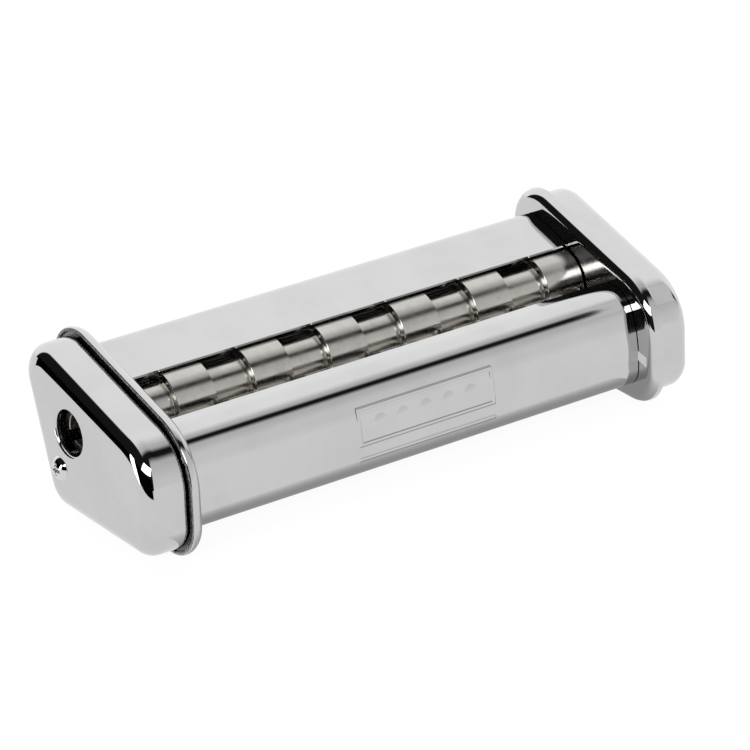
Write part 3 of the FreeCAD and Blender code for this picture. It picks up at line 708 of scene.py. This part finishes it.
def roller_profile(first_disc):
    """The cutting length of a roller, left to right: each disc chamfered, each recess filleted.

    A second point beside each chamfer and fillet keeps the long faces' shading straight.
    """
    profile = []
    for band in range(BANDS):
        left = -ROLLER_END + band * BAND
        right = left + BAND
        if band % 2 == first_disc:
            left, right = left + DISC_GAP, right - DISC_GAP
            chamfer = DISC_CHAMFER
            profile += [(left, DISC_R - chamfer), (left + chamfer, DISC_R),
                        (left + 1.5 * chamfer, DISC_R), (right - 1.5 * chamfer, DISC_R),
                        (right - chamfer, DISC_R), (right, DISC_R - chamfer)]
        else:
            left = left - DISC_GAP if band > 0 else left
            right = right + DISC_GAP if band < BANDS - 1 else right
            fillet = RECESS_FILLET
            profile += [(left, RECESS_R + fillet), (left + 0.3 * fillet, RECESS_R + 0.3 * fillet),
                        (left + fillet, RECESS_R), (left + 1.2 * fillet, RECESS_R),
                        (right - 1.2 * fillet, RECESS_R), (right - fillet, RECESS_R),
                        (right - 0.3 * fillet, RECESS_R + 0.3 * fillet), (right, RECESS_R + fillet)]
    return profile


def seat_profile():
    """The right end: journal, gear seat, ring groove and chamfered tip."""
    return [(ROLLER_END, JOURNAL_R), (SEAT_X, JOURNAL_R), (SEAT_X, SEAT_R), (GROOVE_X, SEAT_R),
            (GROOVE_X, GROOVE_R), (GROOVE_X + RING_SHEET, GROOVE_R),
            (GROOVE_X + RING_SHEET, SEAT_R),
            (SHAFT_END_X - 0.3, SEAT_R), (SHAFT_END_X, SEAT_R - 0.3), (SHAFT_END_X, 0)]


def turned_steel(name, tint, roughness, ring_scale=1500.0, ring_height=0.0006):
    """Plated steel off the lathe: rings a fraction of a millimetre apart, and fine wear."""
    material, pen = blank_material(name)
    here = pen.node("ShaderNodeTexCoord", out=3)
    along, _, _ = here.parts()
    rings = pen.node("ShaderNodeTexNoise", {"noise_dimensions": "1D"},
                     {"W": along, "Scale": ring_scale, "Detail": 4.0, "Roughness": 0.7})
    marks = pen.node("ShaderNodeTexNoise",
                     sockets={"Vector": here, "Scale": 160.0, "Detail": 6.0, "Roughness": 0.65})
    grains = pen.node("ShaderNodeTexNoise",
                      sockets={"Vector": here, "Scale": 1900.0, "Detail": 2.0})
    colour = pen.node("ShaderNodeMix", {"data_type": "RGBA"},
                      {"Factor": marks.step(0.35, 0.75), 6: (*tint, 1),
                       7: (*[c * 0.86 for c in tint], 1)}, out=2)
    bump = pen.node("ShaderNodeBump", sockets={"Strength": 0.5, "Distance": 0.001,
                                               "Height": rings * ring_height + grains * 0.0004})
    dull = marks.step(0.3, 0.8) * 0.1 + rings * 0.08 + roughness
    surface = pen.node("ShaderNodeBsdfPrincipled",
                       sockets={"Base Color": colour, "Metallic": 1.0, "Roughness": dull,
                                "Normal": bump})
    pen.node("ShaderNodeOutputMaterial", sockets={"Surface": surface})
    return material


roller_nickel = turned_steel("roller_nickel", (0.50, 0.485, 0.455), 0.12)
STUB_R = 3.5
STUB_X = 76.5
LEFT_RING_X = 77.7
TAIL_X = 79.3
driving_stub = [(-STUB_X, 0), (-STUB_X, STUB_R), (-ROLLER_END, STUB_R)]
driven_tail = [(-TAIL_X, 0), (-TAIL_X, SEAT_R - 0.3), (0.3 - TAIL_X, SEAT_R),
               (-LEFT_RING_X - RING_SHEET, SEAT_R), (-LEFT_RING_X - RING_SHEET, GROOVE_R),
               (-LEFT_RING_X, GROOVE_R), (-LEFT_RING_X, SEAT_R),
               (-SEAT_X, SEAT_R), (-SEAT_X, JOURNAL_R), (-ROLLER_END, JOURNAL_R)]
ROLLERS = {"driving": (DRIVING_AXIS, driving_stub, 1), "driven": (DRIVEN_AXIS, driven_tail, 0)}
for name, (axis, left_end, first_disc) in ROLLERS.items():
    profile = left_end + roller_profile(first_disc) + seat_profile()
    roller = turned(axis, profile, flat_from=SEAT_X + 0.01).piece(name + "_roller_turned")
    roller.data.materials.append(roller_nickel)
    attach(roller, name + "_roller")
    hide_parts(name + "_roller")

# ---- crank socket ---------------------------------------------------------------------------
# A nickel-plated steel sleeve pinned on the driving roller's left stub. Its bore takes the
# crank's spigot and the notch across its mouth takes the crank's pin.
SOCKET_R = 6.0
SOCKET_BORE_R = 4.3
SOCKET_X = 84.3
SOCKET_FLOOR_X = STUB_X
NOTCH_WIDTH = 3.0
NOTCH_DEPTH = 3.0
NOTCH_ANGLE = math.radians(-39.0)
SOCKET_BEVEL = 0.15


def socket_sleeve():
    """The sleeve's section carried round its axis; the mouth drops by the notch's depth inside it.

    At each radius the notch covers the angles whose sine times the radius is under half its width,
    so its walls stay parallel, and two columns share each wall's angle at the two depths.
    """
    radii = np.array([STUB_R, STUB_R, SOCKET_BORE_R, SOCKET_BORE_R, SOCKET_R, SOCKET_R])
    half_notch = np.arcsin(NOTCH_WIDTH / 2 / radii)
    land = np.linspace(0, 1, 33)
    gap = np.linspace(-1, 1, 7)
    angles, deep = [], []
    for start in (0, math.pi):
        angles += [start + half_notch[:, None] * gap]
        angles += [start + half_notch[:, None] + (math.pi - 2 * half_notch[:, None]) * land]
        deep += [np.ones(len(gap)), np.zeros(len(land))]
    angle = np.concatenate(angles, 1) + NOTCH_ANGLE
    mouth = -SOCKET_X + NOTCH_DEPTH * np.concatenate(deep)
    flat = np.ones(len(mouth))
    xs = np.stack([-CHEEK_X * flat, -SOCKET_FLOOR_X * flat, -SOCKET_FLOOR_X * flat,
                   mouth, mouth, -CHEEK_X * flat])
    points = np.stack([xs, DRIVING_AXIS[0] + radii[:, None] * np.cos(angle),
                       DRIVING_AXIS[1] + radii[:, None] * np.sin(angle)], -1)
    shell = Shell()
    shell.grid(points, round_u=True)
    return shell


sleeve = socket_sleeve().piece("crank_socket_sleeve")
bevel = sleeve.modifiers.new("broken_edges", "BEVEL")
bevel.width = SOCKET_BEVEL * MM
bevel.segments = 2
bevel.limit_method = "ANGLE"
sleeve.data.materials.append(turned_steel("socket_nickel", (0.48, 0.45, 0.41), 0.2))
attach(sleeve, "driving_roller")
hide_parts("crank_socket")

# ---- cap screws -----------------------------------------------------------------------------
# One domed, cross-recessed screw of chrome-plated steel holds each cap to a threaded insert.
HEAD_R = 3.35
HEAD_RISE = 1.6
SCREW_R = 1.75
SCREW_TIP_X = 72.8
RECESS_ARM = 1.75
RECESS_HALF = 0.38
RECESS_DEPTH = 1.1
HEAD_STEPS = 144


def cap_screw():
    """The right screw: a dome less a cross whose arms slope down to its middle, on a shank.

    The dome is a sphere's cap of HEAD_RISE over HEAD_R. The cross is where the smaller of the two
    distances from the axes is under RECESS_HALF, and deepens as the larger one goes to nothing.
    """
    radius = np.concatenate([np.linspace(0.02, 2.2, 34), np.linspace(2.3, HEAD_R, 10)])
    angle = np.linspace(0, 2 * math.pi, HEAD_STEPS, endpoint=False)
    y, z = radius[:, None] * np.cos(angle), radius[:, None] * np.sin(angle)
    sphere = (HEAD_R ** 2 + HEAD_RISE ** 2) / (2 * HEAD_RISE)
    dome = np.sqrt(sphere ** 2 - y ** 2 - z ** 2) - (sphere - HEAD_RISE)
    along = np.maximum(np.abs(y), np.abs(z))
    across = np.minimum(np.abs(y), np.abs(z))
    slot = np.clip((RECESS_HALF - across) / 0.12 + 0.5, 0, 1)
    slope = np.clip((RECESS_ARM - along) / RECESS_ARM * 1.6, 0, 1)
    x = CAP_X1 + dome - RECESS_DEPTH * slot * slope
    head = np.stack([x, SCREW_AT[0] + y, SCREW_AT[1] + z], -1)
    profile = [(CAP_X1, HEAD_R), (CAP_X1, SCREW_R), (SCREW_TIP_X + 0.4, SCREW_R),
               (SCREW_TIP_X, SCREW_R - 0.4), (SCREW_TIP_X, 0)]
    shell = turned(SCREW_AT, profile)
    shell.grid(head)
    centre = np.array([[[x[0].mean(), *SCREW_AT]] * HEAD_STEPS])
    shell.grid(np.concatenate([centre, head[:1]]))
    return shell


screw_chrome = chrome("screw_chrome", tint=(0.62, 0.62, 0.63), wave=0.002)
for side, shell in (("right", cap_screw()), ("left", mirrored(cap_screw()))):
    screw = shell.piece(side + "_cap_screw_turned", sharp=50)
    screw.data.materials.append(screw_chrome)
    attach(screw, "housing")
    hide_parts(side + "_cap_screw")

# ---- pieces kept as the frame has them --------------------------------------------------------
# Combs, rods, nuts, washers, rings, gears, inserts and bushes: plain stampings, turnings and
# mouldings, most of them inside, each with the finish of its own stock.
STOCK = {
    "stainless_comb": ((0.45, 0.45, 0.45), 0.22, ("front_comb", "rear_comb")),
    "zinc_plate": ((0.48, 0.49, 0.51), 0.25,
                   ("front_comb_rod", "rear_comb_rod", "upper_tie_rod", "tie_rod_nuts",
                    "tie_rod_washers", "left_clinch_nut", "right_clinch_nut",
                    "driving_gear_washer", "driven_gear_washer", "left_end_washer")),
    "gear_steel": ((0.32, 0.32, 0.33), 0.3, ("driving_gear", "driven_gear")),
    "spring_steel": ((0.12, 0.12, 0.13), 0.35,
                     ("driving_gear_ring", "driven_gear_ring", "left_end_ring")),
    "pin_steel": ((0.42, 0.42, 0.42), 0.2, ("socket_pin",)),
}
for finish, (tint, roughness, members) in STOCK.items():
    stock = turned_steel(finish, tint, roughness)
    for member in members:
        nodes[member].data.materials.clear()
        nodes[member].data.materials.append(stock)


def nylon():
    """Off-white bearing nylon: a soft sheen, faint mottling and a little grey grease."""
    material, pen = blank_material("bearing_nylon")
    here = pen.node("ShaderNodeTexCoord", out=3)
    mottle = pen.node("ShaderNodeTexNoise", sockets={"Vector": here, "Scale": 220.0, "Detail": 4.0})
    colour = pen.node("ShaderNodeMix", {"data_type": "RGBA"},
                      {"Factor": mottle.step(0.4, 0.75), 6: (0.80, 0.78, 0.71, 1),
                       7: (0.60, 0.58, 0.53, 1)}, out=2)
    bump = pen.node("ShaderNodeBump",
                    sockets={"Strength": 0.3, "Distance": 0.0005, "Height": mottle})
    surface = pen.node("ShaderNodeBsdfPrincipled",
                       sockets={"Base Color": colour, "Roughness": mottle * 0.2 + 0.35,
                                "Normal": bump})
    pen.node("ShaderNodeOutputMaterial", sockets={"Surface": surface})
    return material


bush_nylon = nylon()
for member in ("left_driving_bush", "right_driving_bush", "left_driven_bush", "right_driven_bush"):
    nodes[member].data.materials.clear()
    nodes[member].data.materials.append(bush_nylon)
